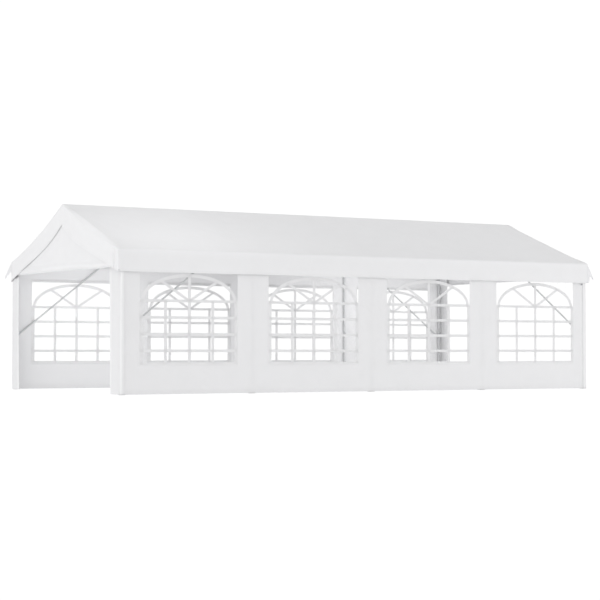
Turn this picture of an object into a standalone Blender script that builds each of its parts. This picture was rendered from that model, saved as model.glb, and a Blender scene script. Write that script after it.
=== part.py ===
"""Party marquee, 8 x 4 m: a steel tube frame in four bays under a white PE cover, both gable ends open.

Metres, +Z up. The origin is on the ground at the middle of the plan, X runs along the ridge, and the
camera side of the tent is at -Y ("near"). "left" is -X. Each end and each side is the mirror of the other.
"""

import math

import bmesh
import bpy
from mathutils import Matrix, Vector

# Size of the cover, and the rows of legs that it stands on
COVER_LENGTH = 8.0
COVER_WIDTH = 4.0
EAVE_HEIGHT = 1.955
RIDGE_HEIGHT = 2.695
VALANCE_DROP = 0.308
BAYS = 4
POST_PITCH = 1.965
POST_LINE = 1.96

# Steel tube, the sockets that join it, and its feet
TUBE_RADIUS = 0.019
SOCKET_RADIUS = 0.021
SOCKET_REACH = 0.150
BRACE_RADIUS = 0.0125
BRACE_ON_LEG = 0.833
BRACE_ON_EAVE = 2.52
FOOT_WIDTH = 0.080
FOOT_THICKNESS = 0.005
TUBE_SIDES = 16

# Sheet and film, thicker than the real cloth so that each is a solid
SHEET = 0.004
FILM = 0.002
GAP = 0.0003
WALL_TOP = 1.900
WALL_BOTTOM = 0.012
GABLE_HEM = 1.733
END_STRIP_WIDTH = 0.340
WINDOW_WIDTH = 1.460
WINDOW_BOTTOM = 0.400
WINDOW_TOP = 1.720

# Values that follow from those above
HALF_LENGTH = COVER_LENGTH / 2
HALF_WIDTH = COVER_WIDTH / 2
POSTS = [(i - BAYS / 2) * POST_PITCH for i in range(BAYS + 1)]
BAY_CENTRES = [(i + 0.5 - BAYS / 2) * POST_PITCH for i in range(BAYS)]
RISE = (RIDGE_HEIGHT - EAVE_HEIGHT) / HALF_WIDTH
SLOPE = math.atan(RISE)
TUBE_DEPTH = (SHEET + GAP + SOCKET_RADIUS) / math.cos(SLOPE)
EAVE_AXIS = EAVE_HEIGHT + RISE * (HALF_WIDTH - POST_LINE) - TUBE_DEPTH
RIDGE_AXIS = RIDGE_HEIGHT - TUBE_DEPTH
RAFTER_RUN = math.hypot(POST_LINE, RIDGE_AXIS - EAVE_AXIS)
WALL_INSIDE = POST_LINE + SOCKET_RADIUS + GAP
STRIP_INSIDE = POSTS[-1] + SOCKET_RADIUS + GAP
GABLE_INSIDE = STRIP_INSIDE + SHEET + GAP

SIDES = {"near": -1, "far": 1}
ENDS = {"left": -1, "right": 1}


def material(name, colour, roughness, metallic=0.0, alpha=1.0):
    made = bpy.data.materials.new(name)
    made.use_nodes = True
    shader = made.node_tree.nodes["Principled BSDF"]
    shader.inputs["Base Color"].default_value = (*colour, 1.0)
    shader.inputs["Roughness"].default_value = roughness
    shader.inputs["Metallic"].default_value = metallic
    shader.inputs["Alpha"].default_value = alpha
    return made


def add_object(name, mesh, of_material, location=(0, 0, 0), rotation=(0, 0, 0)):
    made = bpy.data.objects.new(name, mesh)
    made.location = location
    made.rotation_euler = rotation
    if of_material and not mesh.materials:
        mesh.materials.append(of_material)
    bpy.context.scene.collection.objects.link(made)
    return made


def mesh_from(bm, name):
    bmesh.ops.remove_doubles(bm, verts=bm.verts, dist=1e-6)
    bmesh.ops.recalc_face_normals(bm, faces=bm.faces)
    mesh = bpy.data.meshes.new(name)
    bm.to_mesh(mesh)
    bm.free()
    return mesh


def turned_mesh(name, stations):
    """A tube spun about Z, from (height, radius) pairs that run up its outside."""
    outline = [(stations[0][0], 0.0), *stations, (stations[-1][0], 0.0)]
    bm = bmesh.new()
    points = [bm.verts.new((radius, 0.0, height)) for height, radius in outline]
    edges = [bm.edges.new(pair) for pair in zip(points, points[1:])]
    bmesh.ops.spin(
        bm,
        geom=points + edges,
        cent=(0, 0, 0),
        axis=(0, 0, 1),
        angle=2 * math.pi,
        steps=TUBE_SIDES,
        use_merge=True,
    )
    mesh = mesh_from(bm, name)
    mesh.shade_smooth()
    mesh.set_sharp_from_angle(angle=math.radians(40))
    return mesh


def box_mesh(name, low, high):
    bm = bmesh.new()
    bmesh.ops.create_cube(bm, size=1.0)
    size = [top - bottom for bottom, top in zip(low, high)]
    middle = [(top + bottom) / 2 for bottom, top in zip(low, high)]
    bmesh.ops.scale(bm, vec=size, verts=bm.verts)
    bmesh.ops.translate(bm, vec=middle, verts=bm.verts)
    return mesh_from(bm, name)


def guide(name, mesh, location=(0, 0, 0)):
    """A shape that only cuts or joins another."""
    made = add_object(name, mesh, None, location)
    made.hide_render = True
    made.display_type = "WIRE"
    return made


def socketed(length, sockets):
    """Stations of a tube of this length, thickened to socket size between each pair of heights."""
    stations = []
    at = 0.0
    for low, high in sockets:
        if low > at:
            stations += [(at, TUBE_RADIUS), (low, TUBE_RADIUS)]
        stations += [(low, SOCKET_RADIUS), (high, SOCKET_RADIUS)]
        at = high
    if at < length:
        stations += [(at, TUBE_RADIUS), (length, TUBE_RADIUS)]
    return stations


def cover_height(y):
    """Height of the outside of the roof cover above a line |y| from the ridge."""
    return RIDGE_HEIGHT - RISE * abs(y)


# Ten upright legs, each a tube welded to a square foot plate, with the socket of its connector on top
def add_legs():
    steel = material("leg steel", (0.42, 0.43, 0.44), 0.42, 0.75)
    top = EAVE_AXIS - SOCKET_RADIUS - GAP
    foot = FOOT_THICKNESS
    length = top - foot / 2
    tube = add_object(
        "leg_tube", turned_mesh("leg", socketed(length, [(length - SOCKET_REACH, length)])), steel
    )
    tube.location.z = foot / 2
    plate = guide(
        "foot_plate_shape",
        box_mesh("foot plate", (-FOOT_WIDTH / 2, -FOOT_WIDTH / 2, 0), (FOOT_WIDTH / 2, FOOT_WIDTH / 2, foot)),
    )
    weld = tube.modifiers.new("foot plate", "BOOLEAN")
    weld.operation = "UNION"
    weld.object = plate
    graph = bpy.context.evaluated_depsgraph_get()
    mesh = bpy.data.meshes.new_from_object(tube.evaluated_get(graph))
    mesh.transform(Matrix.Translation(tube.location))
    bpy.data.objects.remove(tube)
    bpy.data.objects.remove(plate)
    for side, sign in SIDES.items():
        for number, x in enumerate(POSTS, 1):
            add_object(f"leg_{side}_{number}", mesh, steel, (x, sign * POST_LINE, 0))


# Three rows of tube along the tent: two at the eaves and one at the ridge, each run through five connectors
def add_rails():
    steel = material("rail steel", (0.42, 0.43, 0.44), 0.42, 0.75)
    end = POSTS[-1] + SOCKET_RADIUS
    sockets = [
        (max(x - SOCKET_REACH, -end) + end, min(x + SOCKET_REACH, end) + end) for x in POSTS
    ]
    mesh = turned_mesh("rail", socketed(2 * end, sockets))
    along_x = (0, math.pi / 2, 0)
    for side, sign in SIDES.items():
        add_object(f"eave_rail_{side}", mesh, steel, (-end, sign * POST_LINE, EAVE_AXIS), along_x)
    add_object("ridge_rail", mesh, steel, (-end, 0, RIDGE_AXIS), along_x)


# Ten rafters, each a tube between the sockets of an eave connector and a ridge connector
def add_rafters():
    steel = material("rafter steel", (0.42, 0.43, 0.44), 0.42, 0.75)
    start = SOCKET_RADIUS + GAP
    length = RAFTER_RUN - 2 * start
    mesh = turned_mesh("rafter", socketed(length, [(0, SOCKET_REACH), (length - SOCKET_REACH, length)]))
    climb = math.atan2(RIDGE_AXIS - EAVE_AXIS, POST_LINE)
    for side, sign in SIDES.items():
        y = sign * (POST_LINE - start * math.cos(climb))
        z = EAVE_AXIS + start * math.sin(climb)
        for number, x in enumerate(POSTS, 1):
            add_object(
                f"rafter_{side}_{number}", mesh, steel, (x, y, z), (sign * (math.pi / 2 - climb), 0, 0)
            )


# Four knee braces, from the corner legs up to the eave rails, cut upright at the leg and level at the rail
def add_knee_braces():
    steel = material("brace steel", (0.36, 0.37, 0.38), 0.45, 0.75)
    leg_face = POSTS[-1] - TUBE_RADIUS - GAP
    rail_face = EAVE_AXIS - TUBE_RADIUS - GAP
    low = Vector((leg_face, 0, BRACE_ON_LEG))
    high = Vector((BRACE_ON_EAVE, 0, rail_face))
    spare = 0.1
    run = high - low
    for end_name, end_sign in ENDS.items():
        bm = bmesh.new()
        bmesh.ops.create_cone(
            bm,
            cap_ends=True,
            segments=TUBE_SIDES,
            radius1=BRACE_RADIUS,
            radius2=BRACE_RADIUS,
            depth=run.length + 2 * spare,
        )
        turn = run.to_track_quat("Z", "Y").to_matrix().to_4x4()
        bmesh.ops.transform(bm, matrix=Matrix.Translation((low + high) / 2) @ turn, verts=bm.verts)
        for point, normal in ((low, (1, 0, 0)), (high, (0, 0, 1))):
            cut = bmesh.ops.bisect_plane(
                bm,
                geom=bm.verts[:] + bm.edges[:] + bm.faces[:],
                plane_co=point,
                plane_no=normal,
                clear_outer=True,
            )
            rim = [item for item in cut["geom_cut"] if isinstance(item, bmesh.types.BMEdge)]
            bmesh.ops.contextual_create(bm, geom=rim)
        if end_sign < 0:
            bmesh.ops.scale(bm, vec=(-1, 1, 1), verts=bm.verts)
        mesh = mesh_from(bm, f"knee brace {end_name}")
        mesh.shade_smooth()
        mesh.set_sharp_from_angle(angle=math.radians(40))
        for side, sign in SIDES.items():
            add_object(f"knee_brace_{side}_{end_name}", mesh, steel, (0, sign * POST_LINE, 0))


# Roof cover: one sheet with both slopes, a valance down each long side and one down each rake
def add_roof_cover():
    sheet = material("roof sheet", (0.80, 0.80, 0.81), 0.45)
    hem = EAVE_HEIGHT - VALANCE_DROP
    inside = HALF_WIDTH - SHEET
    depth = SHEET / math.cos(SLOPE)
    outer = [(-HALF_WIDTH, hem), (-HALF_WIDTH, EAVE_HEIGHT), (0, RIDGE_HEIGHT)]
    outer += [(HALF_WIDTH, EAVE_HEIGHT), (HALF_WIDTH, hem)]
    inner = [(-inside, hem), (-inside, cover_height(inside) - depth), (0, RIDGE_HEIGHT - depth)]
    inner += [(inside, cover_height(inside) - depth), (inside, hem)]
    rake_hem_top = (0, RIDGE_HEIGHT - VALANCE_DROP)
    bm = bmesh.new()

    def points(outline, x):
        return [bm.verts.new((x, y, z)) for y, z in outline]

    out_left, out_right = points(outer, -HALF_LENGTH), points(outer, HALF_LENGTH)
    rake = HALF_LENGTH - SHEET
    in_left, in_right = points(inner, -rake), points(inner, rake)
    for left, right in ((out_left, out_right), (in_left, in_right)):
        for i in range(4):
            bm.faces.new((left[i], left[i + 1], right[i + 1], right[i]))
    hem_corners = []
    for out_end, in_end, sign in ((out_left, in_left, -1), (out_right, in_right, 1)):
        near_corner, top, far_corner = points([inner[0], rake_hem_top, inner[-1]], sign * HALF_LENGTH)
        (inner_top,) = points([rake_hem_top], sign * rake)
        bm.faces.new((*out_end, far_corner, top, near_corner))
        bm.faces.new((*in_end, inner_top))
        bm.faces.new((near_corner, top, inner_top, in_end[0]))
        bm.faces.new((top, far_corner, in_end[-1], inner_top))
        hem_corners.append((near_corner, far_corner))
    for i, k in ((0, 0), (-1, 1)):
        bm.faces.new(
            (out_left[i], out_right[i], hem_corners[1][k], in_right[i], in_left[i], hem_corners[0][k])
        )
    add_object("roof_cover", mesh_from(bm, "roof cover"), sheet)


# Gable panels: the cloth that closes each end above the doorway, behind the rake valance
def add_gable_panels():
    sheet = material("gable sheet", (0.86, 0.86, 0.86), 0.45)
    edge = HALF_WIDTH - SHEET - GAP
    under = (SHEET + GAP) / math.cos(SLOPE)
    outline = [(-edge, GABLE_HEM), (-edge, cover_height(edge) - under), (0, RIDGE_HEIGHT - under)]
    outline += [(edge, cover_height(edge) - under), (edge, GABLE_HEM)]
    for end_name, sign in ENDS.items():
        bm = bmesh.new()
        face = bm.faces.new([bm.verts.new((sign * GABLE_INSIDE, y, z)) for y, z in outline])
        pulled = bmesh.ops.extrude_face_region(bm, geom=[face])
        moved = [item for item in pulled["geom"] if isinstance(item, bmesh.types.BMVert)]
        bmesh.ops.translate(bm, vec=(sign * SHEET, 0, 0), verts=moved)
        add_object(f"gable_panel_{end_name}", mesh_from(bm, "gable panel"), sheet)


# Side walls: one length of sheet along each side, with four window openings, tied round the frame inside it
def add_side_walls():
    sheet = material("wall sheet", (0.80, 0.80, 0.81), 0.45)
    end = STRIP_INSIDE + SHEET
    half = WINDOW_WIDTH / 2
    for side, sign in SIDES.items():
        faces = sorted((sign * WALL_INSIDE, sign * (WALL_INSIDE + SHEET)))
        wall = add_object(
            f"side_wall_{side}",
            box_mesh("side wall", (-end, faces[0], WALL_BOTTOM), (end, faces[1], WALL_TOP)),
            sheet,
        )
        cutters = bpy.data.collections.new(f"window openings {side}")
        bpy.context.scene.collection.children.link(cutters)
        for number, x in enumerate(BAY_CENTRES, 1):
            cutter = guide(
                f"window_opening_{side}_{number}",
                box_mesh(
                    "window opening",
                    (x - half, faces[0] - SHEET, WINDOW_BOTTOM),
                    (x + half, faces[1] + SHEET, WINDOW_TOP),
                ),
            )
            bpy.context.scene.collection.objects.unlink(cutter)
            cutters.objects.link(cutter)
        cut = wall.modifiers.new("window openings", "BOOLEAN")
        cut.operation = "DIFFERENCE"
        cut.operand_type = "COLLECTION"
        cut.collection = cutters


# Windows: eight panes of clear film welded into the side walls
def add_windows():
    film = material("window film", (0.92, 0.94, 0.95), 0.12, 0.0, 0.25)
    half = WINDOW_WIDTH / 2 - GAP
    middle = WALL_INSIDE + SHEET / 2
    for side, sign in SIDES.items():
        faces = sorted((sign * (middle - FILM / 2), sign * (middle + FILM / 2)))
        for number, x in enumerate(BAY_CENTRES, 1):
            low = (x - half, faces[0], WINDOW_BOTTOM + GAP)
            high = (x + half, faces[1], WINDOW_TOP - GAP)
            add_object(f"window_{side}_{number}", box_mesh("window film", low, high), film)


# End strips: the standing sides of each end wall, left in place beside the open doorway
def add_end_strips():
    sheet = material("end strip sheet", (0.84, 0.84, 0.85), 0.45)
    outside = WALL_INSIDE - GAP
    for end_name, end_sign in ENDS.items():
        faces = sorted((end_sign * STRIP_INSIDE, end_sign * (STRIP_INSIDE + SHEET)))
        for side, sign in SIDES.items():
            edges = sorted((sign * outside, sign * (outside - END_STRIP_WIDTH)))
            low = (faces[0], edges[0], WALL_BOTTOM)
            high = (faces[1], edges[1], WALL_TOP)
            add_object(f"end_strip_{side}_{end_name}", box_mesh("end strip", low, high), sheet)


for old in list(bpy.data.objects):
    bpy.data.objects.remove(old)
add_legs()
add_rails()
add_rafters()
add_knee_braces()
add_roof_cover()
add_gable_panels()
add_side_walls()
add_windows()
add_end_strips()
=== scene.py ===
import math

import bmesh
import bpy
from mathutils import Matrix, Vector, noise


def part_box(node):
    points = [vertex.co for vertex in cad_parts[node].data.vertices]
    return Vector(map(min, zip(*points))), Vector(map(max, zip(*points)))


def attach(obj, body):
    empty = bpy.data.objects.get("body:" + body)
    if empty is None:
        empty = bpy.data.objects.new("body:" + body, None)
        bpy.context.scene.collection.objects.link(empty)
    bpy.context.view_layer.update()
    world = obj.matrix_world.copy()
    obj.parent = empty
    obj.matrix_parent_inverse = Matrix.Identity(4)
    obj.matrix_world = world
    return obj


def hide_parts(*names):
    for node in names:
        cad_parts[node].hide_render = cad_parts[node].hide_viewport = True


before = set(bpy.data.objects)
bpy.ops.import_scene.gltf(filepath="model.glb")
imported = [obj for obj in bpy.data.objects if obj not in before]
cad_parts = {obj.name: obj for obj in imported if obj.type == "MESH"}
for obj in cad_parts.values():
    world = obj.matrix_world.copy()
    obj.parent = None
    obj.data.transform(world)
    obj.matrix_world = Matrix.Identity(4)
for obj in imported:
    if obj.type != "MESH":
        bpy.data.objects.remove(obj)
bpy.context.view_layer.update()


# Studio: a pale floor that runs out of sight, a white sky that is weaker overhead and on the right, a faint
# soft sun from the left end, soft boxes beside the tent and under its roof, and the camera low and far off.
def linear(hex_colour):
    """Turns an sRGB hex colour into linear red, green and blue, with an alpha of one."""
    values = [int(hex_colour[start : start + 2], 16) / 255 for start in (0, 2, 4)]
    return (*[v / 12.92 if v <= 0.04045 else ((v + 0.055) / 1.055) ** 2.4 for v in values], 1.0)


def add_node(tree, kind, inputs=None, **settings):
    """Adds a node. An input is a value, an output, a node, which stands for its first output, or a list of
    nodes, which are all linked. Settings are the node's own properties."""
    node = tree.nodes.new(kind)
    for name, value in settings.items():
        setattr(node, name, value)
    for socket, value in (inputs or {}).items():
        for source in value if isinstance(value, list) else [value]:
            if isinstance(source, bpy.types.Node):
                source = next(output for output in source.outputs if output.enabled)
            if isinstance(source, bpy.types.NodeSocket):
                tree.links.new(source, node.inputs[socket])
            else:
                node.inputs[socket].default_value = source
    return node


def new_material(name):
    """Starts a material with an empty node tree, and returns both and the place on the object."""
    material = bpy.data.materials.new(name)
    material.use_nodes = True
    tree = material.node_tree
    tree.nodes.clear()
    return material, tree, add_node(tree, "ShaderNodeTexCoord").outputs["Object"]


def two_tone(tree, place, scale, detail, dark, light):
    """Noise with that many waves a metre, and a colour that wanders with it between two hex colours."""
    grain = add_node(tree, "ShaderNodeTexNoise", {"Vector": place, "Scale": scale, "Detail": detail})
    colours = {"Factor": grain, "A": linear(dark), "B": linear(light)}
    return grain, add_node(tree, "ShaderNodeMix", colours, data_type="RGBA")


def add_object(name, data):
    """Puts a mesh, lamp or camera in the scene at the origin."""
    placed = bpy.data.objects.new(name, data)
    bpy.context.scene.collection.objects.link(placed)
    return placed


CAMERA_PLACE = (-13.059, -22.370, 0.594)
CAMERA_TILT = 91.730
CAMERA_TURN = -30.180
CAMERA_LENS = 100.32
TOWARDS_KEY = Vector((-0.86, -0.42, 0.30))
KEY_STRENGTH = 0.32
KEY_SOFTNESS = 35
SKY_LEVEL = {"From Min": 0.25, "From Max": 1.0, "To Min": 1.04, "To Max": 0.73}
SKY_RIGHT = {"From Min": 0.70, "From Max": 1.0, "To Min": 1.0, "To Max": 0.55}
FLOOR_REACH = 150.0
FLOOR_GLOW = 0.62
# name, place, the point it faces, side in metres, power in watts, spread in degrees
SOFT_BOXES = (
    ("soft box off the left end", (-10.0, -1.6, 3.6), (-4.0, 0.0, 2.0), 3.0, 38.0, 180),
    ("soft box off the right end", (7.5, -9.5, 2.6), (3.0, -2.0, 1.0), 3.0, 66.0, 180),
    ("soft box over the left bay", (-4.0, -2.6, 4.4), (-2.6, -1.35, 2.2), 1.2, 3.8, 88),
    ("room light left", (-2.0, 0.0, 2.36), (-2.0, 0.0, 0.0), 1.2, 10.0, 180),
    ("room light right", (2.0, 0.0, 2.36), (2.0, 0.0, 0.0), 1.2, 10.0, 180),
    ("wall light left", (-2.9, -1.2, 1.1), (-2.9, 1.98, 1.9), 1.4, 3.9, 66),
    ("wall light right", (2.3, -1.2, 1.1), (2.3, 1.98, 1.9), 1.4, 4.6, 68),
)

camera_data = bpy.data.cameras.new("studio camera")
camera_data.lens = CAMERA_LENS
camera_data.clip_end = 500
camera = add_object("studio camera", camera_data)
camera.location = CAMERA_PLACE
camera.rotation_euler = (math.radians(CAMERA_TILT), 0, math.radians(CAMERA_TURN))
bpy.context.scene.camera = camera
bpy.context.scene.view_settings.view_transform = "Standard"

key_data = bpy.data.lights.new("key", "SUN")
key_data.energy = KEY_STRENGTH
key_data.angle = math.radians(KEY_SOFTNESS)
key = add_object("key", key_data)
key.rotation_euler = TOWARDS_KEY.to_track_quat("Z", "Y").to_euler()

for lamp_name, place, aim, size, power, spread in SOFT_BOXES:
    lamp_data = bpy.data.lights.new(lamp_name, "AREA")
    lamp_data.size = size
    lamp_data.energy = power
    lamp_data.spread = math.radians(spread)
    lamp = add_object(lamp_name, lamp_data)
    lamp.location = place
    lamp.rotation_euler = (Vector(place) - Vector(aim)).to_track_quat("Z", "Y").to_euler()

world = bpy.data.worlds.new("white studio")
world.use_nodes = True
bpy.context.scene.world = world
sky = world.node_tree
sky.nodes.clear()
look = add_node(sky, "ShaderNodeTexCoord").outputs["Generated"]
look_axes = add_node(sky, "ShaderNodeSeparateXYZ", {"Vector": look}).outputs
level = add_node(sky, "ShaderNodeMapRange", {"Value": look_axes["Z"], **SKY_LEVEL})
to_the_right = add_node(sky, "ShaderNodeMapRange", {"Value": look_axes["X"], **SKY_RIGHT})
strength = add_node(sky, "ShaderNodeMath", {0: level, 1: to_the_right}, operation="MULTIPLY")
glow = add_node(sky, "ShaderNodeBackground", {"Color": (1, 1, 1, 1), "Strength": strength})
add_node(sky, "ShaderNodeOutputWorld", {"Surface": glow})

floor_mesh = bpy.data.meshes.new("studio floor")
floor_corners = [(x * FLOOR_REACH, y * FLOOR_REACH, 0) for x, y in ((-1, -1), (1, -1), (1, 1), (-1, 1))]
floor_mesh.from_pydata(floor_corners, [], [(0, 1, 2, 3)])
floor = add_object("studio_floor", floor_mesh)
floor_paint, tree, place = new_material("matt white studio floor")
_, floor_tone = two_tone(tree, place, 0.7, 3.0, "AFAFB0", "B3B3B3")
floor_glow = {"Emission Color": (1, 1, 1, 1), "Emission Strength": FLOOR_GLOW}
floor_surface = add_node(
    tree, "ShaderNodeBsdfPrincipled", {"Base Color": floor_tone, "Roughness": 0.9, **floor_glow}
)
add_node(tree, "ShaderNodeOutputMaterial", {"Surface": floor_surface})
floor_mesh.materials.append(floor_paint)


# Steel frame: round tube with a grey powder coat. The legs, rails, rafters and knee braces are the frame's
# own nodes, which keep their shape. Each is shaded round between its sharp edges.
TUBE_RADIUS = 0.019
SOCKET_RADIUS = 0.021
SOCKET_REACH = 0.150
POST_PITCH = 1.965
POST_LINE = 1.96
POSTS = [POST_PITCH * place for place in (-2, -1, 0, 1, 2)]
RIDGE_AXIS = sum(corner.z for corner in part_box("ridge_rail")) / 2
EAVE_AXIS = sum(corner.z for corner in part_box("eave_rail_near")) / 2
SHARP_FROM = math.radians(38)


def powder_coated_steel(name, colour, worn_colour):
    """Powder coat, baked on: satin, with the faint swell of orange peel and dust that settles low down."""
    material, tree, place = new_material(name)
    # orange peel, 3 mm from swell to swell
    peel = add_node(tree, "ShaderNodeTexNoise", {"Vector": place, "Scale": 330.0, "Detail": 1.0})
    dust = add_node(tree, "ShaderNodeTexNoise", {"Vector": place, "Scale": 9.0, "Detail": 5.0})
    height = add_node(tree, "ShaderNodeSeparateXYZ", {"Vector": place}).outputs["Z"]
    settling = {"From Min": 0.0, "From Max": 0.35, "To Min": 0.9, "To Max": 0.25}
    low_down = add_node(tree, "ShaderNodeMapRange", {"Value": height, **settling})
    share = add_node(tree, "ShaderNodeMath", {0: dust, 1: low_down}, operation="MULTIPLY")
    colours = {"Factor": share, "A": linear(colour), "B": linear(worn_colour)}
    tone = add_node(tree, "ShaderNodeMix", colours, data_type="RGBA")
    gloss = add_node(tree, "ShaderNodeMapRange", {"Value": share, "To Min": 0.34, "To Max": 0.62})
    swell = add_node(tree, "ShaderNodeBump", {"Height": peel, "Strength": 0.25, "Distance": 0.0002})
    coat = {"Coat Weight": 0.15, "Coat Roughness": 0.25, "Normal": swell}
    surface = add_node(tree, "ShaderNodeBsdfPrincipled", {"Base Color": tone, "Roughness": gloss, **coat})
    add_node(tree, "ShaderNodeOutputMaterial", {"Surface": surface})
    return material


def new_layout(name, *labels):
    """Starts a Geometry Nodes tree that takes a geometry and what the labels name, which are sizes or a
    material, and gives a geometry. It returns the tree and its input sockets."""
    tree = bpy.data.node_groups.new(name, "GeometryNodeTree")
    kinds = {"Geometry": "NodeSocketGeometry", "Material": "NodeSocketMaterial"}
    for label in ("Geometry", *labels):
        tree.interface.new_socket(label, in_out="INPUT", socket_type=kinds.get(label, "NodeSocketFloat"))
    tree.interface.new_socket("Geometry", in_out="OUTPUT", socket_type="NodeSocketGeometry")
    return tree, add_node(tree, "NodeGroupInput").outputs


shading, shading_in = new_layout("round shading")
joined = add_node(
    shading, "GeometryNodeMergeByDistance", {"Geometry": shading_in["Geometry"], "Distance": 0.00005}
)
all_smooth = add_node(shading, "GeometryNodeSetShadeSmooth", {"Geometry": joined, "Shade Smooth": True})
bend = add_node(shading, "GeometryNodeInputMeshEdgeAngle")
is_round = add_node(shading, "FunctionNodeCompare", {"A": bend, "B": SHARP_FROM}, operation="LESS_THAN")
edges_smooth = add_node(
    shading, "GeometryNodeSetShadeSmooth", {"Geometry": all_smooth, "Shade Smooth": is_round}, domain="EDGE"
)
add_node(shading, "NodeGroupOutput", {"Geometry": edges_smooth})

# The braces' coat is a copy of the frame's, a touch darker: painted shade.
frame_coat = powder_coated_steel("powder coated steel tube", "BEC0C2", "C9C7C3")
brace_coat = powder_coated_steel("powder coated brace tube", "BCBEC0", "C8C6C2")
for name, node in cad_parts.items():
    if name.startswith(("leg_", "eave_", "ridge_", "rafter_", "knee_")):
        for held in node.material_slots:
            held.material = brace_coat if name.startswith("knee_") else frame_coat
        node.modifiers.new("round shading", "NODES").node_group = shading


# Weld beads and rolled lips: a bead runs round each leg where it stands on its foot plate, and the mouth of
# every connector socket is rolled over. Both are rings of steel under the same coat.
UP = Vector((0, 0, 1))
ALONG = Vector((1, 0, 0))
FOOT_TOP = 0.005
SIDES = {"near": -1, "far": 1}
ENDS = {"left": -1, "right": 1}


def points_mesh(name, spots):
    """A mesh of loose points. Each spot is a place and the way that the piece on it faces."""
    mesh = bpy.data.meshes.new(name)
    mesh.from_pydata([place for place, facing in spots], [], [])
    facing = mesh.attributes.new("facing", "FLOAT_VECTOR", "POINT")
    for number, (place, way) in enumerate(spots):
        facing.data[number].vector = way
    return mesh


def grow(name, source, tree, material, sizes):
    """Runs a Geometry Nodes tree on a source mesh, and keeps what it makes as a plain mesh piece."""
    values = {**sizes, "Material": material}
    layout = add_object(name + "_layout", source)
    modifier = layout.modifiers.new("layout", "NODES")
    modifier.node_group = tree
    for socket in tree.interface.items_tree:
        if socket.in_out == "INPUT" and socket.name in values:
            modifier[socket.identifier] = values[socket.name]
    graph = bpy.context.evaluated_depsgraph_get()
    mesh = bpy.data.meshes.new_from_object(layout.evaluated_get(graph), depsgraph=graph)
    bpy.data.objects.remove(layout)
    mesh.name = name
    piece = add_object(name, mesh)
    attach(piece, "root")
    return piece


def facing_turn(tree, axis):
    """The turn that points one axis of a copy the way that its point faces."""
    way = add_node(tree, "GeometryNodeInputNamedAttribute", {"Name": "facing"}, data_type="FLOAT_VECTOR")
    return add_node(tree, "FunctionNodeAlignRotationToVector", {"Vector": way}, axis=axis)


def place_copies(tree, tree_in, points, copy, turn):
    """Ends a tree with a turned copy on every point, made real and coated with the tree's material."""
    spread_out = {"Points": points, "Instance": copy, "Rotation": turn}
    placed = add_node(tree, "GeometryNodeInstanceOnPoints", spread_out)
    real = add_node(tree, "GeometryNodeRealizeInstances", {"Geometry": placed})
    coated = add_node(tree, "GeometryNodeSetMaterial", {"Geometry": real, "Material": tree_in["Material"]})
    add_node(tree, "NodeGroupOutput", {"Geometry": coated})


def round_ring(tree, steps, radius, thickness):
    """A ring of round section."""
    path = add_node(tree, "GeometryNodeCurvePrimitiveCircle", {"Resolution": steps, "Radius": radius})
    section = add_node(tree, "GeometryNodeCurvePrimitiveCircle", {"Resolution": 6, "Radius": thickness})
    return add_node(tree, "GeometryNodeCurveToMesh", {"Curve": path, "Profile Curve": section})


rings, rings_in = new_layout("rings on points", "Radius", "Thickness", "Material")
ring = round_ring(rings, 20, rings_in["Radius"], rings_in["Thickness"])
place_copies(rings, rings_in, rings_in["Geometry"], ring, facing_turn(rings, "Z"))


def socket_spots(reach):
    """The spots that lie this far from their joint along every connector socket. Each is a place, the way
    that the tube runs there, and the way from the tube into the room."""
    spots = []
    for x in POSTS:
        ridge_point = Vector((x, 0, RIDGE_AXIS))
        rail_ways = [ALONG * way for way in (-1, 1) if abs(x + way * reach) < POSTS[-1]]
        for side in SIDES.values():
            climb = Vector((0, -side * POST_LINE, RIDGE_AXIS - EAVE_AXIS)).normalized()
            under = ALONG.cross(climb) * side
            inward = Vector((0, -side, 0))
            eave_point = Vector((x, side * POST_LINE, EAVE_AXIS))
            spots.append((eave_point - UP * reach, UP, inward))
            spots.append((eave_point + climb * reach, climb, under))
            spots.append((ridge_point - climb * reach, climb, under))
            spots += [(eave_point + way * reach, ALONG, inward) for way in rail_ways]
        spots += [(ridge_point + way * reach, ALONG, -UP) for way in rail_ways]
    return spots


bead_spots = [((x, side * POST_LINE, FOOT_TOP), UP) for x in POSTS for side in SIDES.values()]
bead_sizes = {"Radius": TUBE_RADIUS, "Thickness": 0.003}
grow("weld_beads", points_mesh("weld beads", bead_spots), rings, frame_coat, bead_sizes)
lip_spots = [(place, run) for place, run, inward in socket_spots(SOCKET_REACH)]
lip_sizes = {"Radius": 0.0205, "Thickness": 0.0016}
grow("socket_lips", points_mesh("socket lips", lip_spots), rings, frame_coat, lip_sizes)


# Bolts: one zinc plated hexagon bolt with a washer holds each tube in its socket, and one at each end holds
# a knee brace. They face into the tent, where the cover can't rub on them.
BOLT_FROM_AXIS = 0.110
BRACE_RADIUS = 0.0125
BRACE_BOLT_IN = 0.045


def zinc_plated_steel():
    """Bright zinc: pale, a little blue, with the dull mottling that handling leaves."""
    material, tree, place = new_material("zinc plated steel")
    mottle, tone = two_tone(tree, place, 260.0, 3.0, "A9ADB2", "D3D6DA")
    gloss = add_node(tree, "ShaderNodeMapRange", {"Value": mottle, "To Min": 0.28, "To Max": 0.45})
    plate = {"Base Color": tone, "Roughness": gloss, "Metallic": 1.0}
    surface = add_node(tree, "ShaderNodeBsdfPrincipled", plate)
    add_node(tree, "ShaderNodeOutputMaterial", {"Surface": surface})
    return material


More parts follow.
